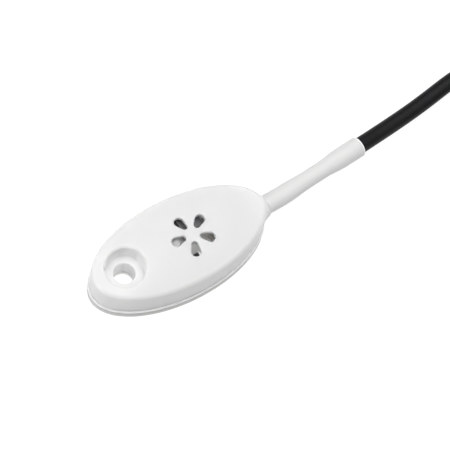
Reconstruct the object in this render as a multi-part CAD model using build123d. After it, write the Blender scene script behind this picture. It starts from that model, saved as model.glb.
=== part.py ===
"""Wired digital temperature sensor: an oval vented housing with a screw hole, a flexible
sleeve, and a black lead that is put away in a tied hank and ends in a small jack plug.

Millimetres. The origin is the centre of the oval back face, +X runs along the oval towards
the lead, +Z comes out of the vented front face.
"""

import os
from math import asin, cos, pi, radians, sin, sqrt, tan

from build123d import *

# Oval housing: a back cover with a proud edge, and a crowned front cover on it
body_length = 39.8
body_width = 19.6
base_edge_height = 2.1
base_ledge = 0.37
base_edge_round = 0.15
floor_thickness = 1.5
cover_seat_gap = 0.12
cover_top_height = 10.85
crown_sag = 1.4
cover_wall = 1.5
cover_top_wall = 1.0
cover_wall_draft = 0.06
cover_edge_round = 1.1
cut_overrun = 3.0

# Screw hole at the rounded end, with its sunk seat for the screw head
hole_inset = 7.4
hole_radius = 2.25
head_seat_height = 6.3
head_recess_radius = 4.12
head_recess_wall = 1.0
head_recess_round = 0.5
head_seat_round = 0.5
screw_tube_wall = 1.3
tube_end_gap = 0.1

# Vent: five drop-shaped holes round one centre
vent_centre_share = 0.4562
vent_side_share = -0.0577
petal_count = 5
petal_tip_reach = 1.57
petal_tip_radius = 0.62
petal_end_reach = 4.65
petal_end_radius = 1.0
petal_edge_round = 0.22

# Lip of the back cover inside the front cover, and the pegs that grip in sockets
lip_clearance = 0.1
lip_thickness = 0.9
lip_height = 1.5
peg_radius = 0.8
peg_clearance = 0.05
peg_root_radius = 1.3
socket_radius = 1.4
socket_top_height = 5.4
socket_floor = 0.8
peg_tip_gap = 0.3
socket_rear_shares = (-0.411, 0.7937)
socket_front_shares = (0.7164, 0.606)

# Flexible sleeve: its axis leaves the housing level, then bends aside and down
sleeve_axis_height = 4.6
sleeve_fit = 0.08
sleeve_level_reach = 0.4
sleeve_bend_radius = 28.0
sleeve_bend_deg = 9.15
sleeve_droop_deg = 38.5
sleeve_root_radius = 2.04
sleeve_bore_radius = 1.1
sleeve_collar_depth = 4.6
sleeve_lip_round = 0.18
jacket_fit = 0.02
flange_radius = 2.9
flange_thickness = 1.2
flange_play = 0.1
stub_radius = 1.6
stub_length = 1.5
saddle_thickness = 1.0
saddle_half_width = 2.6
tip_wall_inset = 4.5
flare_start_inset = 3.7
flare_waist_inset = 1.3
flare_reach = 0.6
flare_half_widths = (5.1, 3.2, 2.32)
flare_half_heights = (5.2, 4.3, 2.36)

# Waist and collar of the sleeve, past its bend
waist_start = 6.0
waist_end = 10.0
waist_radius = 1.81
cone_end = 15.7
collar_end = 20.4
collar_radius = 2.17

# Circuit board on posts, with its melted pins and the tall post beside the sensor
board_front_gap = 5.1
board_length_share = 0.6283
board_edge_gap = 0.35
board_post_share = 0.3733
board_thickness = 1.0
post_radius = 1.2
post_rear_share = 0.111
post_front_inset = 1.0
post_y_share = 0.563
stake_radius = 0.5
stake_clearance = 0.06
stake_head_radius = 0.9
stake_head_height = 0.5
tall_post_inset = 11.13
tall_post_y_share = 0.01
tall_post_radius = 0.85
tall_post_clearance = 0.1
tall_post_top_gap = 1.25

# Sensor package with a flat side, lying on the board, and its three bent legs
sensor_inset = 6.2
sensor_y_share = 0.498
sensor_length = 4.6
sensor_radius = 2.3
sensor_thickness = 3.5
sensor_lift = 0.1
leg_pitch = 1.27
leg_width = 0.45
leg_thickness = 0.4
leg_reach = 1.3
leg_tail = 0.5
leg_height = 1.4
leg_hole_radius = 0.42
leg_pad_radius = 0.58

# Small parts on the board
pad_thickness = 0.05
pad_overhang = 0.2
chip_length = 2.0
chip_width = 1.25
chip_terminal = 0.4
capacitor_height = 0.9
capacitor_inset = 2.7
capacitor_y_share = -0.13
resistor_height = 0.5
resistor_inset = 7.65
resistor_y_share = -0.4408
solder_height = 0.45

# Three insulated conductors, from the jacket's end through the sleeve to the board
conductor_radius = 0.33
conductor_spacing = 0.43
core_radius = 0.2
core_length = 1.4
wire_pad_inset = 0.85
wire_pad_pitch_share = 0.2453
wire_pad_length = 1.3
wire_pad_width = 1.0
conductor_bend_radius = 1.2
conductor_fan_gap = 0.2
conductor_end_gap = 0.2

# Black lead
cable_diameter = 3.5

# The lead between its first touch of the surface and the hank
run_route = [(62.5, 5.0, 1.75), (73.0, 6.9, 2.6), (82.5, 6.9, 2.6)]

# Hank: flat loops of two runs and two folds, one loop a layer, drawn in at the waist
hank_layers = 4
hank_pitch = 4.2
hank_run_length = 70.0
hank_outer_radius = 13.0
hank_waist_inset = 6.0
hank_end_rise = 1.5

# Tie round the hank's waist
tie_thickness = 0.5
tie_width = 5.0
tie_clearance = 0.35

# Jack plug on the far end
plug_radius = 1.25
plug_barrel_length = 5.9
plug_ring_length = 1.5
plug_tip_length = 2.6
plug_tip_neck = 0.7
plug_tip_neck_radius = 0.9
plug_tip_end_radius = 0.5
plug_insulator_length = 0.5
plug_shoulder_radius = 2.5
plug_shoulder_length = 0.7
grip_radius = 3.5
grip_length = 12.0
grip_round = 0.8
relief_length = 7.0
relief_end_radius = 2.4
relief_root_radius = 2.9
relief_groove_count = 3
relief_groove_width = 0.8
relief_groove_depth = 0.45

body_a = body_length / 2
body_b = body_width / 2
wall_a = body_a - base_ledge
wall_b = body_b - base_ledge
crown_a = wall_a - cover_edge_round
crown_b = wall_b - cover_edge_round
cavity_a = wall_a - cover_wall
cavity_b = wall_b - cover_wall
lip_a = cavity_a - lip_clearance
lip_b = cavity_b - lip_clearance
lip_inner_a = lip_a - lip_thickness
lip_inner_b = lip_b - lip_thickness
lip_top_height = base_edge_height + lip_height
cover_bottom_height = base_edge_height + cover_seat_gap
ceiling_height = cover_top_height - cover_top_wall
cable_radius = cable_diameter / 2
sleeve_hole_radius = sleeve_root_radius + sleeve_fit

hole_x = hole_inset - body_a
screw_tube_radius = hole_radius + screw_tube_wall
tip_wall_x = body_a - tip_wall_inset
recess_front_x = hole_x + head_recess_radius
vent_centre_x = recess_front_x + vent_centre_share * (tip_wall_x - recess_front_x)
vent_centre_y = vent_side_share * lip_inner_b
flare_start_x = body_a - flare_start_inset
flare_waist_x = body_a - flare_waist_inset
flare_end_x = body_a + flare_reach
sleeve_bend_start = flare_end_x + sleeve_level_reach
flange_front_x = tip_wall_x - flange_play
flange_rear_x = flange_front_x - flange_thickness
stub_end_x = flange_rear_x - stub_length

board_front_x = tip_wall_x - board_front_gap
board_length = board_length_share * (tip_wall_x - hole_x - screw_tube_radius)
board_rear_x = board_front_x - board_length
board_stack = board_thickness + sensor_lift + sensor_thickness
board_post_height = board_post_share * (ceiling_height - floor_thickness - board_stack)
board_underside_height = floor_thickness + board_post_height
board_top_height = board_underside_height + board_thickness
pad_top_height = board_top_height + pad_thickness
tall_post_top_height = ceiling_height - tall_post_top_gap
post_rear_x = board_rear_x + post_rear_share * board_length
post_front_x = board_front_x - post_front_inset
sensor_x = board_front_x - sensor_inset
sensor_y = sensor_y_share * lip_inner_b
leg_x = sensor_x + sensor_length / 2 + leg_reach
wire_pad_x = board_front_x - wire_pad_inset
wire_pad_pitch = wire_pad_pitch_share * lip_inner_b
conductor_end_x = board_front_x + conductor_end_gap

hank_low_height = cable_radius + tie_clearance + tie_thickness
hank_end_height = hank_low_height + (hank_layers - 1) * hank_pitch + hank_end_rise
hank_straight_end = cable_diameter


def oval_block(a, b, low, high, draft=0.0):
    """Upright elliptical block that narrows by draft at its top."""
    foot = Plane.XY.offset(low) * Ellipse(a, b)
    if not draft:
        return extrude(foot, high - low)
    return loft([foot, Plane.XY.offset(high) * Ellipse(a - draft, b - draft)])


def disc(x, y, radius, low, high):
    """Upright round bar at x, y between two heights."""
    grown = (Align.CENTER, Align.CENTER, Align.MIN)
    return Pos(x, y, low) * Cylinder(radius, high - low, align=grown)


def block(x, y, low, length, width, height):
    """Box centred on x, y and standing on height low."""
    grown = (Align.CENTER, Align.CENTER, Align.MIN)
    return Pos(x, y, low) * Box(length, width, height, align=grown)


def level_bar(x, y, z, radius, length):
    """Round bar along X, centred on a point."""
    return Pos(x, y, z) * Rot(0, 90, 0) * Cylinder(radius, length)


def turned(points):
    """Solid turned about the X axis from its (x, radius) outline, closed along the axis."""
    outline = [(points[0][0], 0)] + list(points) + [(points[-1][0], 0)]
    return revolve(make_face(Polyline(*outline, close=True).edges()), Axis.X)


def crown_block(top):
    """Everything under a doubly curved crown with its summit at a height."""
    long_radius = crown_a**2 / (2 * crown_sag)
    cross_radius = crown_b**2 / (2 * crown_sag)
    half = crown_b + cut_overrun
    low = -cut_overrun
    sections = []
    for k in (-2, -1, 0, 1, 2):
        x = k * (crown_a + cut_overrun) / 2
        ridge = top - long_radius + sqrt(long_radius**2 - x**2)
        edge = ridge - cross_radius + sqrt(cross_radius**2 - half**2)
        arc = ThreePointArc((x, -half, edge), (x, 0, ridge), (x, half, edge))
        sides = Polyline((x, half, edge), (x, half, low), (x, -half, low), (x, -half, edge))
        sections.append(make_face([arc.edge()] + list(sides.edges())))
    return loft(sections)


def cover_form():
    """Outer form of the front cover: drafted wall, crowned top and soft edge."""
    form = oval_block(wall_a, wall_b, 0, cover_top_height, cover_wall_draft)
    form = form & crown_block(cover_top_height)
    rim = [
        e for e in form.edges()
        if e.bounding_box().size.X > wall_a and e.center().Z > cover_top_height / 2
    ]
    return fillet(rim, cover_edge_round)


def sleeve_flare():
    """Trumpet of the cover round the sleeve's root: tall ovals that shrink along the axis."""
    stations = zip((flare_start_x, flare_waist_x, flare_end_x), flare_half_widths,
                   flare_half_heights)
    flare = loft([
        Plane(origin=(x, 0, sleeve_axis_height), x_dir=(0, 1, 0), z_dir=(1, 0, 0))
        * Ellipse(half_width, half_height)
        for x, half_width, half_height in stations
    ])
    above = block(flare_end_x, 0, cover_bottom_height, body_length, body_width,
                  cover_top_height)
    return flare & crown_block(cover_top_height) & above


def sleeve_passage(radius):
    """Round passage for the sleeve's level part, from inside the housing to outside it."""
    length = flare_end_x - tip_wall_x + 2 * flange_play
    return level_bar((flare_end_x + tip_wall_x) / 2, 0, sleeve_axis_height, radius, length)


def cavity():
    """Room inside the front cover, under its crowned ceiling, up to the wall at the tip."""
    room = oval_block(cavity_a, cavity_b, -cut_overrun, ceiling_height)
    room = room & crown_block(ceiling_height)
    length = tip_wall_x + body_a
    return room & block(tip_wall_x - length / 2, 0, -cut_overrun, length, body_width,
                        cover_top_height + cut_overrun)


def petal(turn_deg):
    """One drop-shaped vent hole, narrow towards the centre of the vent."""
    tip_x = petal_tip_reach + petal_tip_radius
    end_x = petal_end_reach - petal_end_radius
    lean = asin((petal_end_radius - petal_tip_radius) / (end_x - tip_x))

    def side(x, radius, sign):
        return (x - radius * sin(lean), sign * radius * cos(lean))

    tips = [side(tip_x, petal_tip_radius, sign) for sign in (1, -1)]
    ends = [side(end_x, petal_end_radius, sign) for sign in (1, -1)]
    outline = [
        ThreePointArc(tips[0], (petal_tip_reach, 0), tips[1]).edge(),
        Line(tips[1], ends[1]).edge(),
        ThreePointArc(ends[1], (petal_end_reach, 0), ends[0]).edge(),
        Line(ends[0], tips[0]).edge(),
    ]
    foot = Pos(vent_centre_x, vent_centre_y, ceiling_height - cut_overrun)
    face = foot * Rot(0, 0, turn_deg) * make_face(outline)
    return extrude(face, cover_top_wall + 2 * cut_overrun)


def socket_places():
    """Where the four pegs go down into their sockets."""
    return [
        (x_share * lip_inner_a, side * y_share * lip_inner_b)
        for x_share, y_share in (socket_rear_shares, socket_front_shares)
        for side in (1, -1)
    ]


def recessed_form():
    """Outer form of the front cover with the soft-edged seat for the screw head."""
    form = cover_form()
    recess = disc(hole_x, 0, head_recess_radius, head_seat_height,
                  cover_top_height + cut_overrun)
    form -= fillet(recess.edges().sort_by(Axis.Z)[:1], head_seat_round)
    rim = [
        e for e in form.edges()
        if e.center().Z > ceiling_height - crown_sag
        and abs(e.bounding_box().size.X - 2 * head_recess_radius) < head_recess_round
    ]
    return fillet(rim, head_recess_round)


def vented_form():
    """Outer form of the front cover with the vent's drops sunk into it, soft at their rims."""
    form = recessed_form()
    for k in range(petal_count):
        form -= petal(180 + 360 * k / petal_count)
    reach = petal_end_reach + petal_edge_round
    rims = [
        e for e in form.edges()
        if e.center().Z > ceiling_height and e.bounding_box().size.Z < cover_top_wall
        and sqrt((e.center().X - vent_centre_x)**2 + (e.center().Y - vent_centre_y)**2) < reach
    ]
    return fillet(rims, petal_edge_round)


def front_cover():
    """Vented front cover with its screw tube and four pegs."""
    form = vented_form()
    shell = form - cavity()
    shell -= block(0, 0, -cut_overrun, 2 * body_length, 2 * body_width,
                   cover_bottom_height + cut_overrun)
    inside_top = ceiling_height - crown_sag / 2
    shell += disc(hole_x, 0, screw_tube_radius, floor_thickness + tube_end_gap,
                  head_seat_height)
    cup = disc(hole_x, 0, head_recess_radius + head_recess_wall,
               head_seat_height - head_recess_wall, cover_top_height)
    shell += cup & form
    for x, y in socket_places():
        shell += disc(x, y, peg_root_radius, socket_top_height + peg_tip_gap, inside_top)
        shell += disc(x, y, peg_radius, floor_thickness + socket_floor + peg_tip_gap,
                      inside_top)
    shell += sleeve_flare()
    shell -= sleeve_passage(sleeve_hole_radius)
    shell -= block((tip_wall_x + flare_end_x) / 2, 0, 0,
                   flare_end_x - tip_wall_x + 2 * flange_play, 2 * sleeve_hole_radius,
                   sleeve_axis_height)
    return shell - disc(hole_x, 0, hole_radius, 0, head_seat_height + cut_overrun)


def post_places():
    """Where the four posts under the board stand."""
    reach = post_y_share * lip_inner_b
    return [(x, side * reach) for x in (post_rear_x, post_front_x) for side in (1, -1)]


def tall_post_place():
    """Where the tall post beside the sensor stands."""
    return board_front_x - tall_post_inset, tall_post_y_share * lip_inner_b


def back_cover():
    """Back cover: floor, proud edge, lip, peg sockets, board posts and the sleeve's seat."""
    plate = oval_block(body_a, body_b, 0, base_edge_height)
    rims = [
        e for e in plate.edges()
        if e.center().Z > floor_thickness and e.bounding_box().size.Z < floor_thickness
    ]
    plate = fillet(rims, base_edge_round)
    lip = oval_block(lip_a, lip_b, floor_thickness, lip_top_height)
    length = tip_wall_x - lip_clearance + body_a
    lip_span = block(tip_wall_x - lip_clearance - length / 2, 0, 0, length, body_width,
                     cover_top_height)
    room = oval_block(lip_inner_a, lip_inner_b, floor_thickness, cover_top_height)
    shell = plate + (lip & lip_span) - (room & lip_span)
    shell += disc(*tall_post_place(), tall_post_radius, 0, tall_post_top_height)
    for x, y in socket_places():
        shell += disc(x, y, socket_radius, 0, socket_top_height)
        shell -= disc(x, y, peg_radius + peg_clearance, floor_thickness + socket_floor,
                      socket_top_height)
    for x, y in post_places():
        shell += disc(x, y, post_radius, 0, board_underside_height)
        shell += disc(x, y, stake_radius, 0, board_top_height)
        shell += disc(x, y, stake_head_radius, board_top_height,
                      board_top_height + stake_head_height)
    shell += sleeve_seat()
    return shell - disc(hole_x, 0, hole_radius, 0, floor_thickness + cut_overrun)


def sleeve_seat():
    """Saddle behind the sleeve's flange, and the tongue that closes the cover's slot."""
    saddle_x = flange_rear_x - flange_play - saddle_thickness / 2
    saddle = block(saddle_x, 0, 0, saddle_thickness, 2 * saddle_half_width,
                   sleeve_axis_height)
    saddle -= level_bar(saddle_x, 0, sleeve_axis_height, stub_radius + sleeve_fit,
                        saddle_thickness + 2 * flange_play)
    tongue_length = wall_a - tip_wall_x
    tongue = block(tip_wall_x + tongue_length / 2, 0, 0, tongue_length,
                   2 * (sleeve_hole_radius - lip_clearance), sleeve_axis_height)
    return saddle + (tongue - sleeve_passage(sleeve_hole_radius))


def droop_direction():
    """Unit direction, square to X, in which the sleeve bends."""
    return Vector(0, cos(radians(sleeve_droop_deg)), -sin(radians(sleeve_droop_deg)))


def stem_direction():
    """Unit direction of the sleeve and the lead past the bend."""
    bend = radians(sleeve_bend_deg)
    return Vector(cos(bend), 0, 0) + droop_direction() * sin(bend)


def stem_point(distance):
    """Point on the sleeve's axis at a distance past its bend."""
    bend = radians(sleeve_bend_deg)
    start = Vector(sleeve_bend_start, 0, sleeve_axis_height)
    along = Vector(sin(bend), 0, 0) + droop_direction() * (1 - cos(bend))
    return start + along * sleeve_bend_radius + stem_direction() * distance


def stem_corner():
    """Where the level axis and the drooping axis cross."""
    reach = sleeve_bend_radius * tan(radians(sleeve_bend_deg) / 2)
    return Vector(sleeve_bend_start + reach, 0, sleeve_axis_height)


def tube(points, radii, radius):
    """Round tube along straight runs joined by tangent arcs."""
    path = FilletPolyline(*points, radius=radii)
    section = Plane(origin=path @ 0, z_dir=path % 0) * Circle(radius)
    return sweep(section, path=path)


def in_stem(points):
    """Solid turned about the sleeve's drooping axis from (distance, radius) points."""
    along = stem_direction()
    square = Vector(0, 0, 1) - along * along.Z
    return Plane(origin=stem_point(0), x_dir=along, z_dir=square).location * turned(points)


def strain_relief_sleeve():
    """Flexible sleeve: flange in the housing, waisted stem, and the collar on the jacket."""
    level = Pos(0, 0, sleeve_axis_height) * turned([
        (stub_end_x, stub_radius),
        (flange_rear_x, stub_radius),
        (flange_rear_x, flange_radius),
        (flange_front_x, flange_radius),
        (flange_front_x, sleeve_root_radius),
        (sleeve_bend_start, sleeve_root_radius),
    ])
    start = Vector(sleeve_bend_start, 0, sleeve_axis_height)
    bend = TangentArc(start, stem_point(0), tangent=(1, 0, 0))
    elbow = sweep(Plane(origin=start, z_dir=(1, 0, 0)) * Circle(sleeve_root_radius), path=bend)
    waist = in_stem([
        (0, sleeve_root_radius),
        (waist_start, waist_radius),
        (waist_end, waist_radius),
        (cone_end, collar_radius),
        (collar_end - sleeve_lip_round, collar_radius),
        (collar_end, collar_radius - sleeve_lip_round),
    ])
    bore = tube(
        [Vector(stub_end_x, 0, sleeve_axis_height), stem_corner(), stem_point(collar_end)],
        [sleeve_bend_radius], sleeve_bore_radius,
    )
    grip_radius_inside = cable_radius + jacket_fit
    grip = in_stem([
        (collar_end - sleeve_collar_depth, grip_radius_inside),
        (collar_end, grip_radius_inside),
    ])
    return level + elbow + waist - bore - grip


def wire_pad_places():
    """Where the three conductors are soldered."""
    return [(wire_pad_x, k * wire_pad_pitch) for k in (-1, 0, 1)]


def leg_places():
    """Where the sensor's legs go through the board."""
    return [(leg_x, sensor_y + k * leg_pitch) for k in (-1, 0, 1)]


def circuit_board():
    """Board with holes for the stakes, the tall post and the sensor's legs."""
    board = block((board_front_x + board_rear_x) / 2, 0, board_underside_height,
                  board_front_x - board_rear_x, body_width, board_thickness)
    board &= oval_block(lip_inner_a - board_edge_gap, lip_inner_b - board_edge_gap, 0,
                        cover_top_height)
    for x, y in post_places():
        board -= disc(x, y, stake_radius + stake_clearance, 0, cover_top_height)
    board -= disc(*tall_post_place(), tall_post_radius + tall_post_clearance, 0,
                  cover_top_height)
    for x, y in leg_places():
        board -= disc(x, y, leg_hole_radius, 0, cover_top_height)
    return board


def chip_places():
    """Centre, turn and height of each two-ended chip on the board."""
    return {
        "capacitor": (board_front_x - capacitor_inset, capacitor_y_share * lip_inner_b, 90,
                      capacitor_height),
        "resistor": (board_front_x - resistor_inset, resistor_y_share * lip_inner_b, 0,
                     resistor_height),
    }


def chip_core(name):
    """Body of a chip between its two metal ends."""
    x, y, turn_deg, height = chip_places()[name]
    core = block(0, 0, 0, chip_length - 2 * chip_terminal, chip_width, height)
    return Pos(x, y, pad_top_height) * Rot(0, 0, turn_deg) * core


def chip_ends():
    """Metal ends of both chips."""
    ends = []
    for x, y, turn_deg, height in chip_places().values():
        for side in (1, -1):
            reach = side * (chip_length - chip_terminal) / 2
            end = block(reach, 0, 0, chip_terminal, chip_width, height)
            ends.append(Pos(x, y, pad_top_height) * Rot(0, 0, turn_deg) * end)
    return ends


def board_pads():
    """Copper pads under the chips' ends, the legs and the conductors."""
    pads = []
    for x, y, turn_deg, height in chip_places().values():
        for side in (1, -1):
            reach = side * (chip_length - chip_terminal + pad_overhang) / 2
            pad = block(reach, 0, 0, chip_terminal + pad_overhang, chip_width, pad_thickness)
            pads.append(Pos(x, y, board_top_height) * Rot(0, 0, turn_deg) * pad)
    for x, y in leg_places():
        ring = disc(x, y, leg_pad_radius, board_top_height, pad_top_height)
        pads.append(ring - disc(x, y, leg_hole_radius, board_top_height, pad_top_height))
    for x, y in wire_pad_places():
        pads.append(block(x, y, board_top_height, wire_pad_length, wire_pad_width,
                          pad_thickness))
    return pads


def sensor_body():
    """Half-round sensor package, lying with its flat side up."""
    low = board_top_height + sensor_lift
    bar = level_bar(sensor_x, sensor_y, low + sensor_radius, sensor_radius, sensor_length)
    return bar & block(sensor_x, sensor_y, low, sensor_length, 2 * sensor_radius,
                       sensor_thickness)


def sensor_legs():
    """Three legs that come out of the package's end and bend down through the board."""
    legs = []
    level = board_top_height + leg_height
    foot = board_underside_height - leg_tail
    start_x = sensor_x + sensor_length / 2
    for x, y in leg_places():
        length = x + leg_thickness / 2 - start_x
        flat = block(start_x + length / 2, y, level, length, leg_width, leg_thickness)
        legs.append(flat + block(x, y, foot, leg_thickness, leg_width, level - foot))
    return legs


def solder_joints():
    """Solder cones round the legs, and a bead on the end of each conductor."""
    grown = (Align.CENTER, Align.CENTER, Align.MIN)
    joints = []
    for x, y in leg_places():
        cone = Cone(leg_pad_radius, leg_width, solder_height, align=grown)
        leg = block(x, y, board_top_height, leg_thickness, leg_width, leg_height)
        joints.append(Pos(x, y, pad_top_height) * cone - leg)
    for x, y in wire_pad_places():
        bead = Pos(x, y, pad_top_height) * Sphere(wire_pad_width / 2)
        bead &= block(x, y, pad_top_height, wire_pad_length, wire_pad_width, solder_height)
        joints.append(bead - wire_core(y) - block(x, y, pad_top_height, wire_pad_length,
                                                  2 * core_radius, core_radius))
    return joints


def wire_core(y):
    """Bare end of one conductor, lying on its pad."""
    return level_bar(conductor_end_x - core_length / 2, y, pad_top_height + core_radius,
                     core_radius, core_length)


def conductor(place):
    """One insulated conductor, from the jacket's end to its pad."""
    turn = radians(90 - 120 * place)
    shift = Vector(0, conductor_spacing * cos(turn), conductor_spacing * sin(turn))
    pad_y = place * wire_pad_pitch
    low = pad_top_height + core_radius
    fan_x = stub_end_x - conductor_fan_gap
    along = stem_direction()
    points = [
        stem_point(collar_end - sleeve_collar_depth) + shift - along * shift.dot(along),
        stem_corner() + shift,
        Vector(fan_x, 0, sleeve_axis_height) + shift,
        Vector((fan_x + conductor_end_x) / 2, pad_y, low),
        Vector(conductor_end_x, pad_y, low),
    ]
    radii = [sleeve_bend_radius, conductor_bend_radius, conductor_bend_radius]
    return tube(points, radii, conductor_radius)


def route_radii(points):
    """Radius of the arc at each inner point of a route, as large as its two runs allow."""
    radii = []
    for before, here, after in zip(points, points[1:], points[2:]):
        run_in = here - before
        run_out = after - here
        half_turn = radians(run_in.get_angle(run_out)) / 2
        radii.append(0.45 * min(run_in.length, run_out.length) / tan(half_turn))
    return radii


def cord_tube(name, points):
    """Tube of the lead along a route, with its radii and its volume printed."""
    radii = route_radii(points)
    path = FilletPolyline(*points, radius=radii)
    solid = tube(points, radii, cable_radius)
    ratio = solid.volume / (pi * cable_radius**2 * path.length)
    print(name, "radii", [round(r, 1) for r in radii], "length", round(path.length, 2),
          "volume share", round(ratio, 5))
    return solid


def run_points():
    """Route of the lead from the sleeve's collar to the hank."""
    start = stem_point(collar_end - sleeve_collar_depth)
    landing = (stem_point(0).Z - cable_radius) / -stem_direction().Z
    return [start, stem_point(landing)] + [Vector(*p) for p in run_route]


def hank_frame():
    """Plane at the hank's centre on the surface, its X along the lead where it enters."""
    before, end = run_points()[-2:]
    heading = (end - before).normalized()
    side = Vector(heading.Y, -heading.X, 0)
    reach = hank_straight_end + hank_run_length / 2
    centre = end + heading * reach + side * hank_outer_radius
    return Plane(origin=(centre.X, centre.Y, 0), x_dir=heading, z_dir=(0, 0, 1))


def hank_folds():
    """Where each fold starts and ends sideways, and its height: two folds to a layer."""
    folds = []
    y = hank_outer_radius
    for k in range(2 * hank_layers - 1):
        radius = hank_outer_radius - (hank_pitch / 2 if k % 4 in (1, 2) else 0)
        end_y = y + 2 * radius * (1 if k % 2 else -1)
        folds.append((y, end_y, hank_low_height + k // 2 * hank_pitch))
        y = end_y
    return folds


def s_bend(start, end, heading):
    """Two equal arcs that leave one point and reach the next along the hank."""
    middle = (start + end) / 2
    chord = (end - start).normalized()
    along = Vector(heading, 0, 0)
    slant = chord * (2 * chord.dot(along)) - along
    return [
        TangentArc(start, middle, tangent=along).edge(),
        TangentArc(middle, end, tangent=slant).edge(),
    ]


def waist_point(y, z):
    """Point at the hank's waist of the run that starts at y."""
    return Vector(0, y - hank_waist_inset * (1 if y > 0 else -1), z)


def hank_edges():
    """Lines and arcs of the hank's centreline in its own plane."""
    half = hank_run_length / 2
    y, z = hank_outer_radius, hank_low_height
    edges = [Line((-half - hank_straight_end, y, z), (-half, y, z)).edge()]
    heading = 1
    for y, end_y, fold_z in hank_folds():
        waist = waist_point(y, (z + fold_z) / 2)
        edges += s_bend(Vector(-heading * half, y, z), waist, heading)
        edges += s_bend(waist, Vector(heading * half, y, fold_z), heading)
        top = (heading * (half + abs(end_y - y) / 2), (y + end_y) / 2, fold_z)
        edges.append(ThreePointArc((heading * half, y, fold_z), top,
                                   (heading * half, end_y, fold_z)).edge())
        y, z, heading = end_y, fold_z, -heading
    last = waist_point(y, hank_end_height)
    edges += s_bend(Vector(-heading * half, y, z), last, heading)
    edges.append(Line(last, hank_end()).edge())
    return edges


def hank_end():
    """Where the lead ends at the plug, in the hank's own plane, past the waist."""
    last = waist_point(hank_folds()[-1][1], hank_end_height)
    return last - Vector(hank_straight_end, 0, 0)


def hank_gap(path):
    """Least gap between two strands of the hank, measured on points of its centreline."""
    count = int(path.length)
    points = [path @ (k / count) for k in range(count + 1)]
    skip = int(pi * hank_pitch)
    least = min(
        (points[i] - points[j]).length
        for i in range(count + 1)
        for j in range(i + skip, count + 1)
    )
    return least - cable_diameter


def cable_hank():
    """The length of the lead that is put away, as one tube with all its loops."""
    path = Wire(hank_edges())
    section = Plane(origin=path @ 0, z_dir=path % 0) * Circle(cable_radius)
    hank = sweep(section, path=path)
    ratio = hank.volume / (pi * cable_radius**2 * path.length)
    print("hank length", round(path.length, 1), "volume share", round(ratio, 5),
          "least gap", round(hank_gap(path), 3))
    return hank_frame().location * hank


def waist_places():
    """Where the strands cross the hank's waist, as sideways place and height."""
    heights = [hank_low_height] + [z for y, end_y, z in hank_folds()]
    places = [
        waist_point(fold[0], (z + fold[2]) / 2) for fold, z in zip(hank_folds(), heights)
    ]
    places.append(waist_point(hank_folds()[-1][1], hank_end_height))
    return [(place.Y, place.Z) for place in places]


def hank_tie():
    """Flat band drawn round all the strands at the hank's waist."""
    across = Plane(origin=(-tie_width / 2, 0, 0), x_dir=(0, 1, 0), z_dir=(1, 0, 0))

    def hull(radius):
        rings = [Pos(y, z) * Circle(radius) for y, z in waist_places()]
        return make_hull([edge for ring in rings for edge in ring.edges()])

    inner = cable_radius + tie_clearance
    band = hull(inner + tie_thickness) - hull(inner)
    return hank_frame().location * extrude(across * band, tie_width)


def on_plug(shape):
    """Place a shape that lies along X from the end of the lead, which points back."""
    frame = hank_frame()
    end = frame.from_local_coords(hank_end())
    return Plane(origin=end, x_dir=-frame.x_dir, z_dir=(0, 0, 1)).location * shape


def plug_grip():
    """Moulded grip with a grooved bend relief towards the lead."""
    relief = turned([(0, relief_end_radius), (relief_length, relief_root_radius)])
    slope = (relief_root_radius - relief_end_radius) / relief_length
    for k in range(relief_groove_count):
        x = relief_length * (k + 1) / (relief_groove_count + 1)
        core_reach = relief_end_radius + slope * x - relief_groove_depth
        ring = level_bar(x, 0, 0, grip_radius, relief_groove_width)
        relief -= ring - level_bar(x, 0, 0, core_reach, relief_groove_width)
    grip = level_bar(relief_length + grip_length / 2, 0, 0, grip_radius, grip_length)
    rims = [e for e in grip.edges() if e.bounding_box().size.X < grip_round]
    return on_plug(relief + fillet(rims, grip_round))


def plug_stack():
    """Where the barrel, both insulators, the ring and the tip of the pin start."""
    barrel = relief_length + grip_length
    first = barrel + plug_shoulder_length + plug_barrel_length
    ring = first + plug_insulator_length
    second = ring + plug_ring_length
    return {
        "barrel": barrel,
        "first_insulator": first,
        "ring": ring,
        "second_insulator": second,
        "tip": second + plug_insulator_length,
    }


def plug_barrel():
    """Outermost contact with the shoulder against the grip."""
    start = plug_stack()["barrel"]
    return on_plug(turned([
        (start, plug_shoulder_radius),
        (start + plug_shoulder_length, plug_shoulder_radius),
        (start + plug_shoulder_length, plug_radius),
        (plug_stack()["first_insulator"], plug_radius),
    ]))


def plug_ring():
    """Middle contact of the pin."""
    start = plug_stack()["ring"]
    return on_plug(turned([(start, plug_radius), (start + plug_ring_length, plug_radius)]))


def plug_insulators():
    """Plastic rings between the contacts."""
    starts = [plug_stack()[name] for name in ("first_insulator", "second_insulator")]
    return [
        on_plug(turned([(x, plug_radius), (x + plug_insulator_length, plug_radius)]))
        for x in starts
    ]


def plug_tip():
    """Tip contact with its groove and its blunt cone."""
    start = plug_stack()["tip"]
    return on_plug(turned([
        (start, plug_radius),
        (start + plug_tip_neck, plug_tip_neck_radius),
        (start + 2 * plug_tip_neck, plug_radius),
        (start + plug_tip_length, plug_tip_end_radius),
    ]))


def write(name, shape):
    """Write one node, joining a list of separate solids in one file."""
    if isinstance(shape, list):
        shape = Compound(children=[part for piece in shape for part in piece.solids()])
    export_step(shape, "parts/" + name + ".step")


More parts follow.
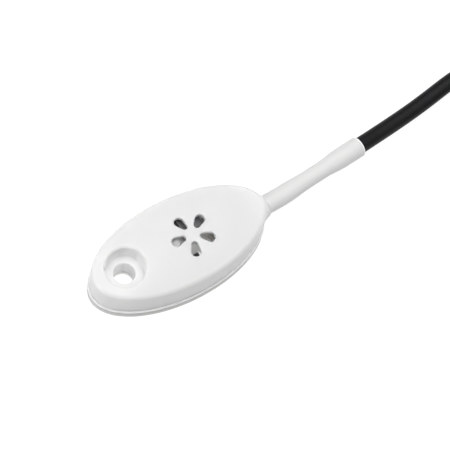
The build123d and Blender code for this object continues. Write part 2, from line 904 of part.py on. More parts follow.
def main():
    os.makedirs("parts", exist_ok=True)
    write("front_cover", front_cover())
    write("back_cover", back_cover())
    write("strain_relief_sleeve", strain_relief_sleeve())
    write("circuit_board", circuit_board())
    write("board_pads", board_pads())
    write("sensor_body", sensor_body())
    write("sensor_legs", sensor_legs())
    write("capacitor_core", chip_core("capacitor"))
    write("resistor_core", chip_core("resistor"))
    write("chip_ends", chip_ends())
    write("solder_joints", solder_joints())
    write("wire_black", conductor(-1))
    write("wire_yellow", conductor(0))
    write("wire_red", conductor(1))
    write("wire_cores", [wire_core(y) for x, y in wire_pad_places()])
    write("cable_run", cord_tube("run", run_points()))
    write("cable_hank", cable_hank())
    write("hank_tie", hank_tie())
    write("plug_grip", plug_grip())
    write("plug_barrel", plug_barrel())
    write("plug_ring", plug_ring())
    write("plug_tip", plug_tip())
    write("plug_insulators", plug_insulators())


main()
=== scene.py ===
"""Looks of the wired temperature sensor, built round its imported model.

Lengths are metres in the part's own frame: the origin is the centre of the oval back face,
+X runs towards the lead and +Z out of the vented front face.
"""

from math import atan, cos, pi, radians, sin, tan

import bpy
import numpy as np
from bpy.props import FloatProperty, FloatVectorProperty, PointerProperty
from mathutils import Matrix, Vector


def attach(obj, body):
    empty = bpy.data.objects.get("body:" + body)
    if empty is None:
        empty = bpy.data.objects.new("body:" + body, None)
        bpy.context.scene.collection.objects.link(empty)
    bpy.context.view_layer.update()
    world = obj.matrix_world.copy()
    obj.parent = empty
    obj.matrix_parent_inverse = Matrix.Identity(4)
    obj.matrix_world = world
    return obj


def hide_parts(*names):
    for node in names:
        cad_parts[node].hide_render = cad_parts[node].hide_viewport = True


bl_info = {
    "name": "Oval Temperature Sensor",
    "version": (1, 0, 0),
    "blender": (4, 5, 0),
    "location": "View3D > Sidebar > Sensor",
    "description": "Dresses the oval vented sensor, its sleeve, lead and plug",
    "category": "Object",
}

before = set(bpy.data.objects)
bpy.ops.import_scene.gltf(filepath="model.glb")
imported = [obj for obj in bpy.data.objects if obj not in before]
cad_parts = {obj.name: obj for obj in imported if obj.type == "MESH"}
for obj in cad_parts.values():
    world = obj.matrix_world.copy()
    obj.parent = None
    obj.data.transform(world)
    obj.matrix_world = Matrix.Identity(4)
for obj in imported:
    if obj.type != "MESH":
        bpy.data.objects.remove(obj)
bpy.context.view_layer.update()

MM = 0.001
HOUSING = "housing"
WHITE = (1.0, 1.0, 1.0, 1.0)

# How far light passes through the covers' plastic
GLOW_DEPTH = 3.0 * MM

# Where painted shade and painted light make the covers' white darker or lighter, over what width,
# and by what share
# Painted shade: the back cover's white darkens from FOOT_HEIGHT down to the floor
FOOT_HEIGHT = 2.1 * MM
FOOT_SHADE = 0.12
# Painted light: the back cover is lighter from LEDGE_HEIGHT up, where its ledge catches light,
# and both covers are lighter inside
LEDGE_HEIGHT = 1.95 * MM
LEDGE_FADE = 0.1 * MM
FRONT_INNER_LIGHT = 0.28
BACK_INNER_LIGHT = 0.75
# Painted light on the walls of the screw recess and hole, but not on their seat
RECESS_X = -12.5 * MM
RECESS_RADIUS = 4.12 * MM
RECESS_STEEPNESS = 8.0
RECESS_LIGHT = 0.3
SEAT_HEIGHT = 6.3 * MM
SEAT_FADE = 0.3 * MM
# Painted light on the cover past the root of the neck
NECK_X = 18.8 * MM
NECK_FADE = 0.8 * MM
NECK_LIGHT = 0.2
CROWN_HALF_LENGTH = 18.43 * MM
CROWN_HALF_WIDTH = 8.33 * MM
CROWN_STEEPNESS = 25.0
CROWN_HEIGHT = 10.85 * MM
CROWN_SAG = 1.4 * MM
CROWN_WALL = 0.8 * MM
CROWN_FADE = 0.15 * MM

# The sleeve's axis: level out of the housing, then bent aside and down, as the solids are
AXIS_HEIGHT = 4.6 * MM
BEND_START = 20.9 * MM
BEND_RADIUS = 28.0 * MM
BEND_ANGLE = radians(9.15)
DROOP_ANGLE = radians(38.5)
COLLAR_END = 20.4 * MM
COLLAR_DEPTH = 4.6 * MM

# The sleeve's outline as (distance, radius): inside the housing from the end of its stub,
# and outside from the end of the bend
STUB_END = 12.6 * MM
SLEEVE_INSIDE = np.array([(0.0, 1.6), (1.5, 1.6), (1.5, 2.9), (2.7, 2.9), (2.7, 2.04),
                          (8.3, 2.04)]) * MM
SLEEVE_WAIST = np.array([(0.0, 2.04), (6.0, 1.81), (10.0, 1.81), (15.7, 2.17), (20.2, 2.17)]) * MM
SLEEVE_BORE = 1.1 * MM
COLLAR_BORE = 1.77 * MM
LIP_RADIUS = 0.2 * MM
ROUND_STEPS = 64
BEND_STEPS = 8
WAIST_STEPS = 12
LIP_STEPS = 12
BORE_STEPS = 24

# The painted highlight on the sleeve's lip: its length along the axis, its edge's width and its
# share
LIP_REACH = 0.32 * MM
LIP_FADE = 0.08 * MM
LIP_LIGHT = 0.42

# The lead's route between its first touch of the surface and the hank
RUN_ROUTE = np.array([(62.5, 5.0, 1.75), (73.0, 6.9, 2.6), (82.5, 6.9, 2.6)]) * MM
LEAD_RADIUS = 1.75 * MM

# The hank: flat loops of two runs and two folds, one loop a layer, drawn in at the waist
HANK_LAYERS = 4
HANK_PITCH = 4.2 * MM
HANK_RUN = 70.0 * MM
HANK_RADIUS = 13.0 * MM
HANK_WAIST_INSET = 6.0 * MM
HANK_END_RISE = 1.5 * MM
HANK_LOW = 2.6 * MM
HANK_STRAIGHT = 3.5 * MM
POINTS_PER_FOLD = 8


class SensorLook(bpy.types.PropertyGroup):
    """Colours and finishes of the sensor's own pieces."""

    shell_colour: FloatVectorProperty(
        name="Shell colour",
        description="White of the two covers",
        subtype="COLOR",
        size=3,
        min=0.0,
        max=1.0,
        default=(0.73, 0.73, 0.725),
    )
    # The back cover's edge is greyer than the front as painted shade, the floor's contact shadow
    base_colour_with_painted_shade: FloatVectorProperty(
        name="Base colour",
        description="White of the back cover's edge, a little greyer than the front",
        subtype="COLOR",
        size=3,
        min=0.0,
        max=1.0,
        default=(0.52, 0.52, 0.515),
    )
    sleeve_colour: FloatVectorProperty(
        name="Sleeve colour",
        description="White of the flexible sleeve",
        subtype="COLOR",
        size=3,
        min=0.0,
        max=1.0,
        default=(0.68, 0.68, 0.675),
    )
    lead_colour: FloatVectorProperty(
        name="Lead colour",
        description="Black of the lead's jacket",
        subtype="COLOR",
        size=3,
        min=0.0,
        max=1.0,
        default=(0.012, 0.012, 0.013),
    )
    shell_roughness: FloatProperty(
        name="Shell roughness",
        description="Roughness of the moulded covers",
        min=0.0,
        max=1.0,
        default=0.58,
    )
    shell_glow: FloatProperty(
        name="Shell glow",
        description="Share of the light that passes into the thin white shell",
        subtype="FACTOR",
        min=0.0,
        max=1.0,
        default=0.7,
    )
    grain_size: FloatProperty(
        name="Grain size",
        description="Size of the fine grain of the moulded covers",
        unit="LENGTH",
        min=0.00002,
        max=0.002,
        default=0.00016,
    )


class StageLook(bpy.types.PropertyGroup):
    """Light, floor and camera."""

    floor_colour: FloatVectorProperty(
        name="Floor colour",
        description="Colour of the plain floor",
        subtype="COLOR",
        size=3,
        min=0.0,
        max=1.0,
        default=(0.12, 0.12, 0.12),
    )
    floor_light: FloatProperty(
        name="Floor light",
        description="Light that comes up through the floor, as on a light table",
        min=0.0,
        max=10.0,
        default=0.93,
    )
    room_light: FloatProperty(
        name="Room light",
        description="Brightness of the even light from all round",
        min=0.0,
        max=10.0,
        default=0.03,
    )
    top_light: FloatProperty(
        name="Top light",
        description="Power of the soft light overhead",
        subtype="POWER",
        min=0.0,
        max=100.0,
        default=4.45,
    )
    side_light: FloatProperty(
        name="Side light",
        description="Power of the soft light on the left",
        subtype="POWER",
        min=0.0,
        max=100.0,
        default=1.9,
    )
    near_light: FloatProperty(
        name="Near light",
        description="Power of the soft light above the viewer's side",
        subtype="POWER",
        min=0.0,
        max=100.0,
        default=1.45,
    )
    lead_light: FloatProperty(
        name="Lead light",
        description="Power of the soft light at the lead's side",
        subtype="POWER",
        min=0.0,
        max=100.0,
        default=1.1,
    )


class Wire:
    """A shader socket that adds Math nodes when it is used in an expression."""

    def __init__(self, shader, socket):
        self.shader = shader
        self.socket = socket

    def _math(self, operation, first, second=None):
        values = {0: first} if second is None else {0: first, 1: second}
        return self.shader.node("ShaderNodeMath", {"operation": operation}, values)

    def __add__(self, other):
        return self._math("ADD", self, other)

    __radd__ = __add__

    def __sub__(self, other):
        return self._math("SUBTRACT", self, other)

    def __rsub__(self, other):
        return self._math("SUBTRACT", other, self)

    def __mul__(self, other):
        return self._math("MULTIPLY", self, other)

    __rmul__ = __mul__

    def __truediv__(self, other):
        return self._math("DIVIDE", self, other)

    def absolute(self):
        """This value without its sign."""
        return self._math("ABSOLUTE", self)

    def clamp(self):
        """This value kept between 0 and 1."""
        return self.shader.node("ShaderNodeClamp", {}, {0: self, 1: 0.0, 2: 1.0})

    def rise(self, start, width):
        """0 up to a start, rising to 1 over a width."""
        return ((self - start) / width).clamp()


class Shader:
    """One material's node tree, built from a type, its settings and its socket values."""

    def __init__(self, name):
        self.material = bpy.data.materials.new(name)
        self.material.use_nodes = True
        self.tree = self.material.node_tree
        self.surface = self.tree.nodes["Principled BSDF"]
        self.place = self.node("ShaderNodeTexCoord", {}, {}, "Object")

    def node(self, kind, settings, values, output=0):
        """A node of a type, with its settings first and then its socket values or links."""
        made = self.tree.nodes.new(kind)
        for key, value in settings.items():
            setattr(made, key, value)
        self.feed(made, values)
        return Wire(self, made.outputs[output])

    def feed(self, made, values):
        """Sets or links a node's sockets."""
        for key, value in values.items():
            if isinstance(value, Wire):
                self.tree.links.new(value.socket, made.inputs[key])
            else:
                made.inputs[key].default_value = value

    def axes(self):
        """The three object coordinates."""
        return [self.node("ShaderNodeSeparateXYZ", {}, {0: self.place}, k) for k in range(3)]

    def noise(self, size, detail=2.0, roughness=0.5):
        """Noise of a feature size in metres, from 0 to 1."""
        values = {"Vector": self.place, "Scale": 1.0 / size, "Detail": detail,
                  "Roughness": roughness}
        return self.node("ShaderNodeTexNoise", {}, values)

    def mix(self, factor, first, second):
        """Colour between two colours."""
        values = {0: factor, 6: tuple(first), 7: tuple(second)}
        return self.node("ShaderNodeMix", {"data_type": "RGBA"}, values, 2)

    def tinted(self, factor, colour, low, high):
        """One colour whose brightness runs from a low to a high share of itself."""
        return self.mix(factor, opaque(colour, low), opaque(colour, high))

    def bump(self, height, distance, strength=1.0):
        """Normal from a height from 0 to 1 over a distance in metres."""
        values = {"Height": height, "Distance": distance, "Strength": strength}
        return self.node("ShaderNodeBump", {}, values)

    def finish(self, **sockets):
        """Feeds the surface's sockets, named with underscores for spaces."""
        named = {key.replace("_", " "): value for key, value in sockets.items()}
        self.feed(self.surface, named)
        return self.material


def opaque(colour, scale=1.0):
    """A colour with full alpha, scaled in brightness."""
    return tuple(c * scale for c in colour) + (1.0,)


def about(middle, noise, spread):
    """A value that noise moves by up to half a spread either way."""
    return middle + (noise - 0.5) * spread


def outside_recess(x, y):
    """0 within the wall of the screw recess, rising to 1 outside it."""
    aside = x - RECESS_X
    reach = (aside * aside + y * y) / RECESS_RADIUS ** 2
    return ((reach - 1.0) * RECESS_STEEPNESS).clamp()


def under_crown(x, y, height):
    """1 inside the covers, falling to 0 at the crown's outline and near its surface.

    A point is inside where it lies within the crown's oval, (x / CROWN_HALF_LENGTH) ** 2 +
    (y / CROWN_HALF_WIDTH) ** 2 below 1, and more than CROWN_WALL under the crown, whose height
    is CROWN_HEIGHT less CROWN_SAG times the oval's value there.
    """
    oval = x * x / CROWN_HALF_LENGTH ** 2 + y * y / CROWN_HALF_WIDTH ** 2
    depth = CROWN_HEIGHT - oval * CROWN_SAG - height
    return ((1.0 - oval) * CROWN_STEEPNESS).clamp() * depth.rise(CROWN_WALL, CROWN_FADE)


def cover_painted_light(shader, foot_shade, ledge_height, inner_light):
    """Scale of a cover's white by place, with painted light and shade, 1 on its plain outer
    faces.

    The shares are fitted to the brightness of the photograph, and aren't known from the plastic.
    The painted shade falls by foot_shade from FOOT_HEIGHT down to height 0, towards the floor.
    Painted light rises by RECESS_LIGHT on the walls of the screw hole and its recess but not on
    the seat, by NECK_LIGHT past NECK_X, and by inner_light from ledge_height up and inside the
    covers.
    """
    x, y, height = shader.axes()
    outside = outside_recess(x, y)
    off_seat = ((height - SEAT_HEIGHT).absolute() / SEAT_FADE).clamp()
    recess = (1.0 - outside) * off_seat * RECESS_LIGHT
    neck = x.rise(NECK_X, NECK_FADE) * NECK_LIGHT
    foot = ((height / FOOT_HEIGHT).clamp() - 1.0) * foot_shade
    ledge = height.rise(ledge_height, LEDGE_FADE)
    inside = under_crown(x, y, height) * outside
    inner = (1.0 - (1.0 - ledge) * (1.0 - inside)) * inner_light
    return foot + recess + neck + inner + 1.0


def shell_plastic(name, tint, foot_shade, ledge_height, inner_light):
    """Satin moulded plastic of a cover: fine spark grain, faint clouding, and painted light and
    shade by place.
    """
    look = bpy.context.scene.sensor_look
    shader = Shader(name)
    cloud = shader.noise(9 * MM)
    grain = shader.noise(look.grain_size, detail=3.0, roughness=0.6)
    patch = shader.noise(2.5 * MM, detail=3.0)
    # Painted light and shade by place, moved a little by faint random clouding
    painted_light_and_cloud = about(cover_painted_light(shader, foot_shade, ledge_height, inner_light), cloud, 0.03)
    return shader.finish(
        Base_Color=shader.tinted(painted_light_and_cloud * 0.5, tint, 0.0, 2.0),
        Roughness=about(look.shell_roughness, patch, 0.08),
        Specular_IOR_Level=0.25,
        Subsurface_Weight=look.shell_glow,
        Subsurface_Radius=(1.0, 1.0, 0.95),
        Subsurface_Scale=GLOW_DEPTH,
        Normal=shader.bump(grain, 0.004 * MM, 0.5),
    )


def sleeve_rubber():
    """Soft matt elastomer of the sleeve, greyer than the covers, with a painted highlight on its
    lip.
    """
    look = bpy.context.scene.sensor_look
    shader = Shader("sleeve_rubber")
    cloud = shader.noise(6 * MM)
    grain = shader.noise(0.12 * MM, detail=3.0, roughness=0.6)
    start = stem_point(COLLAR_END - LIP_REACH)
    along = sum((axis - float(place)) * float(share)
                for axis, place, share in zip(shader.axes(), start, stem_direction()))
    # The lip is made lighter as a painted highlight along its rounded edge
    lip = (along / LIP_FADE).clamp() * LIP_LIGHT
    return shader.finish(
        Base_Color=shader.tinted(about(0.5, cloud, 0.04) + lip, look.sleeve_colour, 0.5, 1.5),
        Roughness=about(0.5, cloud, 0.1),
        Normal=shader.bump(grain, 0.006 * MM, 0.5),
    )


def lead_jacket():
    """Black jacket of the lead: fine extrusion grain and faint dull patches."""
    look = bpy.context.scene.sensor_look
    shader = Shader("lead_jacket")
    grain = shader.noise(0.35 * MM, detail=2.0, roughness=0.4)
    patch = shader.noise(3 * MM, detail=3.0)
    return shader.finish(
        Base_Color=shader.tinted(patch, look.lead_colour, 0.85, 1.2),
        Specular_IOR_Level=0.12,
        Roughness=about(0.42, patch, 0.16),
        Normal=shader.bump(grain, 0.005 * MM, 0.3),
    )


def black_plastic(name, roughness, grain_size, grey=0.024):
    """Black moulded plastic with a visible grain."""
    shader = Shader(name)
    grain = shader.noise(grain_size, detail=3.0, roughness=0.6)
    patch = shader.noise(4 * MM)
    return shader.finish(
        Base_Color=shader.tinted(patch, (grey, grey, grey * 1.03), 0.75, 1.25),
        Roughness=about(roughness, patch, 0.12),
        Normal=shader.bump(grain, 0.012 * MM, 0.7),
    )


def metal(name, colour, roughness):
    """Plated or tinned metal with faint tool marks."""
    shader = Shader(name)
    patch = shader.noise(0.8 * MM, detail=4.0)
    scratch = shader.noise(0.06 * MM)
    return shader.finish(
        Base_Color=shader.tinted(patch, colour, 0.9, 1.05),
        Metallic=1.0,
        Roughness=about(roughness, patch, 0.12),
        Normal=shader.bump(scratch, 0.002 * MM, 0.4),
    )


def board_laminate():
    """Pale solder mask over woven laminate."""
    shader = Shader("board_laminate")
    weave = shader.node(
        "ShaderNodeTexWave",
        {"bands_direction": "DIAGONAL"},
        {"Vector": shader.place, "Scale": 900.0, "Distortion": 1.5},
        1,
    )
    cloud = shader.noise(3 * MM)
    return shader.finish(
        Base_Color=shader.mix(cloud, opaque((0.9, 0.9, 0.88)), opaque((0.96, 0.96, 0.94))),
        Roughness=about(0.34, cloud, 0.1),
        Normal=shader.bump(weave, 0.01 * MM, 0.4),
    )


def ceramic(name, colour):
    """Dull fired body of a chip."""
    shader = Shader(name)
    speckle = shader.noise(0.08 * MM, detail=3.0)
    return shader.finish(
        Base_Color=shader.tinted(speckle, colour, 0.8, 1.15),
        Roughness=about(0.6, speckle, 0.2),
    )


def insulation(name, colour):
    """Glossy thin insulation of one conductor."""
    shader = Shader(name)
    streak = shader.noise(0.5 * MM, detail=3.0)
    return shader.finish(
        Base_Color=shader.tinted(streak, colour, 0.88, 1.08),
        Roughness=about(0.3, streak, 0.1),
    )


def paint(node, material):
    """Gives a CAD node its material."""
    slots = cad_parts[node].data.materials
    slots.clear()
    slots.append(material)


def add_mesh(name, points, faces, smooth=True):
    """New mesh object from an array of points and an array of faces."""
    mesh = bpy.data.meshes.new(name)
    mesh.from_pydata(points.tolist(), [], faces.tolist())
    mesh.polygons.foreach_set("use_smooth", np.full(len(faces), smooth))
    mesh.update()
    piece = bpy.data.objects.new(name, mesh)
    bpy.context.scene.collection.objects.link(piece)
    return piece


def ring_faces(rows, columns):
    """Quads of a grid that closes both ways."""
    row = np.arange(rows)[:, None] * columns
    next_row = (np.arange(rows)[:, None] + 1) % rows * columns
    column = np.arange(columns)[None, :]
    next_column = (np.arange(columns)[None, :] + 1) % columns
    corners = [row + column, row + next_column, next_row + next_column, next_row + column]
    return np.stack(corners, axis=-1).reshape(-1, 4)


def droop_direction():
    """Unit direction, square to X, in which the sleeve bends."""
    return np.array([0.0, cos(DROOP_ANGLE), -sin(DROOP_ANGLE)])


def stem_direction():
    """Unit direction of the sleeve and the lead past the bend."""
    return np.array([cos(BEND_ANGLE), 0.0, 0.0]) + droop_direction() * sin(BEND_ANGLE)


def stem_point(distance):
    """Point on the sleeve's axis at a distance past its bend."""
    start = np.array([BEND_START, 0.0, AXIS_HEIGHT])
    along = np.array([sin(BEND_ANGLE), 0.0, 0.0]) + droop_direction() * (1 - cos(BEND_ANGLE))
    return start + along * BEND_RADIUS + stem_direction() * distance


def along_sleeve(distance, radius, steps):
    """Rings round the sleeve's axis, one for each distance from the stub's end.

    The axis runs level to the bend, turns on its arc by the distance gone over the bend's
    radius, and goes on straight. Each ring lies square to the axis there: the centre plus the
    radius times the cosine of the round angle in the bend's plane and its sine across it.
    """
    level = BEND_START - STUB_END
    turn = np.clip((distance - level) / BEND_RADIUS, 0.0, BEND_ANGLE)[:, None]
    before = np.minimum(distance, level)[:, None]
    after = np.maximum(distance - level - BEND_RADIUS * BEND_ANGLE, 0.0)[:, None]
    ahead = np.array([1.0, 0.0, 0.0])
    droop = droop_direction()
    heading = np.cos(turn) * ahead + np.sin(turn) * droop
    start = np.array([STUB_END, 0.0, AXIS_HEIGHT])
    arc = np.sin(turn) * ahead + (1 - np.cos(turn)) * droop
    centre = start + before * ahead + BEND_RADIUS * arc + after * heading
    inward = np.cos(turn) * droop - np.sin(turn) * ahead
    across = np.cross(ahead, droop)
    angle = np.arange(steps)[None, :, None] * 2 * pi / steps
    spoke = np.cos(angle) * inward[:, None, :] + np.sin(angle) * across
    return (centre[:, None, :] + radius[:, None, None] * spoke).reshape(-1, 3)


def eased(stations, count):
    """Distances and radii between stations, with the radius eased by a half cosine."""
    share = np.arange(count) / count
    ease = (1 - np.cos(pi * share)) / 2
    before, after = stations[:-1, None, :], stations[1:, None, :]
    distance = before[..., 0] + share * (after - before)[..., 0]
    radius = before[..., 1] + ease * (after - before)[..., 1]
    return np.stack([distance, radius], axis=-1).reshape(-1, 2)


def sleeve_outline():
    """Outline of the sleeve: outside from the stub to the domed lip, and back in the bore."""
    bend_end = BEND_START - STUB_END + BEND_RADIUS * BEND_ANGLE
    bend = np.linspace(SLEEVE_INSIDE[-1, 0], bend_end, BEND_STEPS, endpoint=False)
    level = np.full(BEND_STEPS, SLEEVE_WAIST[0, 1])
    inside = np.concatenate([SLEEVE_INSIDE[:-1], np.c_[bend, level]])
    waist = eased(SLEEVE_WAIST, WAIST_STEPS) + (bend_end, 0.0)
    angle = np.linspace(0.0, pi, LIP_STEPS + 1)
    lip_start = SLEEVE_WAIST[-1, 0] + bend_end
    lip = np.c_[lip_start + LIP_RADIUS * np.sin(angle),
                COLLAR_BORE + LIP_RADIUS * (1 + np.cos(angle))]
    collar = COLLAR_END - COLLAR_DEPTH + bend_end
    back = np.linspace(collar, 0.0, BORE_STEPS)
    bore = np.concatenate([[(collar, COLLAR_BORE)],
                           np.c_[back, np.full(len(back), SLEEVE_BORE)]])
    return np.concatenate([inside, waist, lip, bore])


def hank_axes():
    """Centre, forward and left directions of the hank, forward along the lead's entry."""
    before, end = RUN_ROUTE[-2:]
    forward = (end - before) / np.linalg.norm(end - before)
    left = np.array([-forward[1], forward[0], 0.0])
    centre = end + forward * (HANK_STRAIGHT + HANK_RUN / 2) - left * HANK_RADIUS
    return centre * (1, 1, 0), forward, left


def hank_folds():
    """Sideways start and end of each fold, and its height: two folds to a layer.

    The middle two of every four folds are half a pitch smaller, so the runs on one side lie
    by turns at the full radius and one pitch further in.
    """
    folds = []
    y = HANK_RADIUS
    for k in range(2 * HANK_LAYERS - 1):
        radius = HANK_RADIUS - (HANK_PITCH / 2 if k % 4 in (1, 2) else 0)
        end_y = y + 2 * radius * (1 if k % 2 else -1)
        folds.append((y, end_y, HANK_LOW + k // 2 * HANK_PITCH))
        y = end_y
    return folds


def fold_points(y, end_y, z, heading):
    """Control points of one fold at even angles.

    A quadratic spline runs inside its control points on a circle by the cosine of half the
    step, so the points stand that much further out.
    """
    step = pi / POINTS_PER_FOLD
    angle = (np.arange(POINTS_PER_FOLD) + 0.5) * step
    reach = (y - end_y) / 2 / cos(step / 2)
    x = heading * (HANK_RUN / 2 + abs(reach) * np.sin(angle))
    return np.c_[x, (y + end_y) / 2 + reach * np.cos(angle), np.full(len(angle), z)]


def run_half(y, z, waist_z, heading):
    """Control points of half a run, from a fold to the hank's waist.

    The half run is an S of two equal arcs, and the points lie where their tangents cross.
    The first point mirrors the fold's nearest one, which keeps the fold round.
    """
    half = HANK_RUN / 2
    mirror = HANK_RADIUS * tan(pi / POINTS_PER_FOLD / 2)
    waist_y = y - HANK_WAIST_INSET * (1 if y > 0 else -1)
    drop = ((waist_y - y) ** 2 + (waist_z - z) ** 2) ** 0.5
    slope = 2 * atan(drop / half)
    tangent = half / 2 / sin(slope) * tan(slope / 2)
    places = [(half - mirror, y, z), (half - tangent, y, z), (tangent, waist_y, waist_z)]
    return np.array(places) * (-heading, 1, 1)


def hank_points():
    """Control points of the whole hank in the part's frame."""
    folds = hank_folds()
    parts = []
    z = HANK_LOW
    heading = 1
    for y, end_y, fold_z in folds:
        waist_z = (z + fold_z) / 2
        parts.append(run_half(y, z, waist_z, heading))
        parts.append(run_half(y, fold_z, waist_z, -heading)[::-1])
        parts.append(fold_points(y, end_y, fold_z, heading))
        z, heading = fold_z, -heading
    end_z = z + HANK_END_RISE
    parts.append(run_half(end_y, z, end_z, heading))
    waist_y = end_y + HANK_WAIST_INSET
    parts.append(np.array([(-HANK_STRAIGHT, waist_y, end_z)]))
    points = np.concatenate(parts)
    centre, forward, left = hank_axes()
    x, y, z = points.T[:, :, None]
    return centre + x * forward + y * left + z * np.array([0.0, 0.0, 1.0])


def lead_route():
    """Every control point of the lead, from inside the collar to the plug."""
    landing = (stem_point(0)[2] - LEAD_RADIUS) / -stem_direction()[2]
    start = [stem_point(COLLAR_END - COLLAR_DEPTH), stem_point(landing)]
    return np.concatenate([np.array(start), RUN_ROUTE, hank_points()])


class SENSOR_OT_lead(bpy.types.Operator):
    """Makes the black lead, with its hank, as one cord of real length"""

    bl_idname = "sensor.lead"
    bl_label = "Lead"

    def execute(self, context):
        route = lead_route()
        curve = bpy.data.curves.new("lead", "CURVE")
        curve.dimensions = "3D"
        spline = curve.splines.new("NURBS")
        spline.points.add(len(route) - 1)
        spline.points.foreach_set("co", np.c_[route, np.ones(len(route))].ravel())
        spline.order_u = 3
        spline.use_endpoint_u = True
        spline.resolution_u = 6
        curve.bevel_depth = LEAD_RADIUS
        curve.bevel_resolution = 7
        curve.use_fill_caps = True
        lead = bpy.data.objects.new("lead", curve)
        context.scene.collection.objects.link(lead)
        curve.materials.append(lead_jacket())
        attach(lead, HOUSING)
        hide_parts("cable_run", "cable_hank")
        stem_point(COLLAR_END).tolist()
        return {"FINISHED"}


class SENSOR_OT_sleeve(bpy.types.Operator):
    """Makes the flexible sleeve as one smooth skin with a domed lip"""

    bl_idname = "sensor.sleeve"
    bl_label = "Sleeve"

    def execute(self, context):
        distance, radius = sleeve_outline().T
        points = along_sleeve(distance, radius, ROUND_STEPS)
        sleeve = add_mesh("sleeve_skin", points, ring_faces(len(distance), ROUND_STEPS))
        sleeve.data.materials.append(sleeve_rubber())
        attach(sleeve, HOUSING)
        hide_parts("strain_relief_sleeve")
        return {"FINISHED"}


class SENSOR_OT_finishes(bpy.types.Operator):
    """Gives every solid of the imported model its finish"""

    bl_idname = "sensor.finishes"
    bl_label = "Finishes"

    def execute(self, context):
        look = context.scene.sensor_look
        # Both covers carry painted light; the back cover's edge also carries painted shade
        # towards the floor
        front = shell_plastic("shell_plastic", look.shell_colour, foot_shade=0.0,
                              ledge_height=CROWN_HEIGHT, inner_light=FRONT_INNER_LIGHT)
        back = shell_plastic("base_plastic", look.base_colour_with_painted_shade, foot_shade=FOOT_SHADE,
                             ledge_height=LEDGE_HEIGHT, inner_light=BACK_INNER_LIGHT)
        paint("front_cover", front)
        paint("back_cover", back)
        paint("circuit_board", board_laminate())
        paint("board_pads", metal("pad_gold", (0.85, 0.62, 0.3), roughness=0.3))
        tin = metal("tinned_metal", (0.7, 0.7, 0.71), roughness=0.3)
        for node in ("sensor_legs", "chip_ends", "solder_joints", "wire_cores"):
            paint(node, tin)
        paint("sensor_body", black_plastic("package_plastic", roughness=0.5,
                                           grain_size=0.12 * MM, grey=0.21))
        paint("capacitor_core", ceramic("capacitor_ceramic", (0.76, 0.73, 0.68)))
        paint("resistor_core", ceramic("resistor_ceramic", (0.09, 0.09, 0.095)))
        paint("wire_red", insulation("wire_red_skin", (0.6, 0.03, 0.025)))
        paint("wire_yellow", insulation("wire_yellow_skin", (0.8, 0.58, 0.04)))
        paint("wire_black", insulation("wire_black_skin", (0.03, 0.03, 0.03)))
        paint("hank_tie", black_plastic("tie_plastic", roughness=0.45, grain_size=0.3 * MM))
        paint("plug_grip", black_plastic("grip_plastic", roughness=0.42, grain_size=0.2 * MM))
        paint("plug_insulators", black_plastic("plug_ring_plastic", roughness=0.35,
                                               grain_size=0.2 * MM))
        nickel = metal("nickel_plating", (0.66, 0.64, 0.6), roughness=0.18)
        for node in ("plug_barrel", "plug_ring", "plug_tip"):
            paint(node, nickel)
        return {"FINISHED"}


# The photograph's camera, fitted to the object's outline: where it looks from, how far the
# target lies off the view's axis to the right and up, and the focal length by sensor widths
CAMERA_TURN = radians(45.75)
CAMERA_ELEVATION = radians(66.78)
CAMERA_ROLL = radians(16.465)
CAMERA_DISTANCE = 0.4
CAMERA_TARGET = Vector((2.076, 0.0, 5.0)) * MM
CAMERA_SHIFT = (-7.6 * MM, -3.768 * MM)
FOCAL_WIDTHS = 4.432
SENSOR_WIDTH = 36.0

# Place and side of each soft light, whose power is the stage's setting of the same name
SOFT_LIGHTS = {
    "top_light": ((0.0, 0.1, 0.7), 0.6),
    "side_light": ((-0.6, 0.12, 0.36), 0.4),
    "near_light": ((0.1, -0.3, 0.62), 0.5),
    "lead_light": ((0.7, 0.15, 0.35), 0.4),
}
LIGHT_TARGET = Vector((0.01, 0.0, 0.004))
FLOOR_REACH = 4.0
PAPER_CLOUD = 0.3


def camera_axes():
    """Right, up and forward directions of the fitted camera."""
    turn, tilt, roll = CAMERA_TURN, CAMERA_ELEVATION, CAMERA_ROLL
    level = Vector((cos(turn), -sin(turn), 0))
    rise = Vector((sin(turn) * sin(tilt), cos(turn) * sin(tilt), cos(tilt)))
    forward = Vector((sin(turn) * cos(tilt), cos(turn) * cos(tilt), -sin(tilt)))
    right = level * cos(roll) + rise * sin(roll)
    return right, rise * cos(roll) - level * sin(roll), forward


def soft_light(name, place, size, power):
    """Square area light that faces the sensor."""
    data = bpy.data.lights.new(name, "AREA")
    data.size = size
    data.energy = power
    light = bpy.data.objects.new(name, data)
    light.location = place
    light.rotation_euler = (LIGHT_TARGET - Vector(place)).to_track_quat("-Z", "Y").to_euler()
    bpy.context.scene.collection.objects.link(light)


class SENSOR_OT_camera(bpy.types.Operator):
    """Places the camera where the photograph was taken from"""

    bl_idname = "sensor.camera"
    bl_label = "Camera"

    def execute(self, context):
        right, up, forward = camera_axes()
        data = bpy.data.cameras.new("photo_camera")
        data.sensor_width = SENSOR_WIDTH
        data.lens = FOCAL_WIDTHS * SENSOR_WIDTH
        data.clip_start = 0.01
        data.clip_end = 20.0
        camera = bpy.data.objects.new("photo_camera", data)
        place = (CAMERA_TARGET - right * CAMERA_SHIFT[0] - up * CAMERA_SHIFT[1]
                 - forward * CAMERA_DISTANCE)
        axes = Matrix((right, up, -forward)).transposed().to_4x4()
        camera.matrix_world = Matrix.Translation(place) @ axes
        context.scene.collection.objects.link(camera)
        context.scene.camera = camera
        return {"FINISHED"}


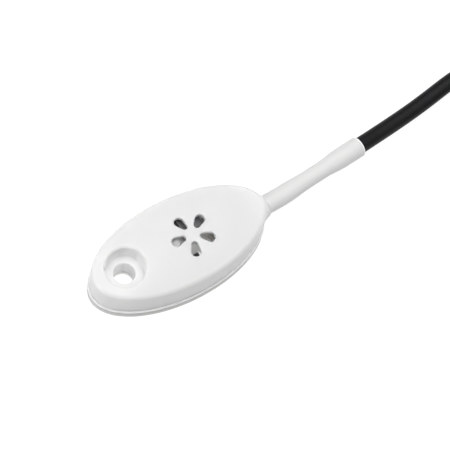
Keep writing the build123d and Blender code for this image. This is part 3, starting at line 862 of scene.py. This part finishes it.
class SENSOR_OT_stage(bpy.types.Operator):
    """Lays the pale floor and sets the soft light"""

    bl_idname = "sensor.stage"
    bl_label = "Stage"

    def execute(self, context):
        look = context.scene.sensor_stage
        corners = np.array([(-1, -1, 0), (1, -1, 0), (1, 1, 0), (-1, 1, 0)]) * FLOOR_REACH
        floor = add_mesh("floor", corners, np.array([[0, 1, 2, 3]]), False)
        shader = Shader("floor_paper")
        floor.data.materials.append(shader.finish(
            Base_Color=shader.tinted(shader.noise(PAPER_CLOUD), look.floor_colour, 0.99, 1.0),
            Roughness=0.9,
            Emission_Color=WHITE,
            Emission_Strength=look.floor_light,
        ))
        world = bpy.data.worlds.new("room")
        context.scene.world = world
        world.use_nodes = True
        background = world.node_tree.nodes["Background"]
        background.inputs["Color"].default_value = WHITE
        background.inputs["Strength"].default_value = look.room_light
        for name, (place, size) in SOFT_LIGHTS.items():
            soft_light(name, place, size, getattr(look, name))
        context.scene.view_settings.view_transform = "Standard"
        return {"FINISHED"}


class SENSOR_PT_panel(bpy.types.Panel):
    """Lists the sensor's settings and the steps that make its pieces"""

    bl_idname = "SENSOR_PT_panel"
    bl_label = "Oval Sensor"
    bl_space_type = "VIEW_3D"
    bl_region_type = "UI"
    bl_category = "Sensor"

    def draw(self, context):
        layout = self.layout
        for owner in (context.scene.sensor_look, context.scene.sensor_stage):
            for name in owner.bl_rna.properties.keys():
                if name not in ("rna_type", "name"):
                    layout.prop(owner, name)
        for operator in STEPS:
            layout.operator(operator.bl_idname)


STEPS = (
    SENSOR_OT_camera,
    SENSOR_OT_lead,
    SENSOR_OT_sleeve,
    SENSOR_OT_finishes,
    SENSOR_OT_stage,
)
CLASSES = (SensorLook, StageLook, SENSOR_PT_panel) + STEPS


def register():
    """Adds the settings, the operators and the panel."""
    for item in CLASSES:
        bpy.utils.register_class(item)
    bpy.types.Scene.sensor_look = PointerProperty(type=SensorLook)
    bpy.types.Scene.sensor_stage = PointerProperty(type=StageLook)


def unregister():
    """Removes what register added."""
    del bpy.types.Scene.sensor_stage
    del bpy.types.Scene.sensor_look
    for item in reversed(CLASSES):
        bpy.utils.unregister_class(item)


def main():
    """Runs every step in order."""
    register()
    bpy.ops.sensor.camera()
    bpy.ops.sensor.lead()
    bpy.ops.sensor.sleeve()
    bpy.ops.sensor.finishes()
    bpy.ops.sensor.stage()


if __name__ == "__main__":
    main()
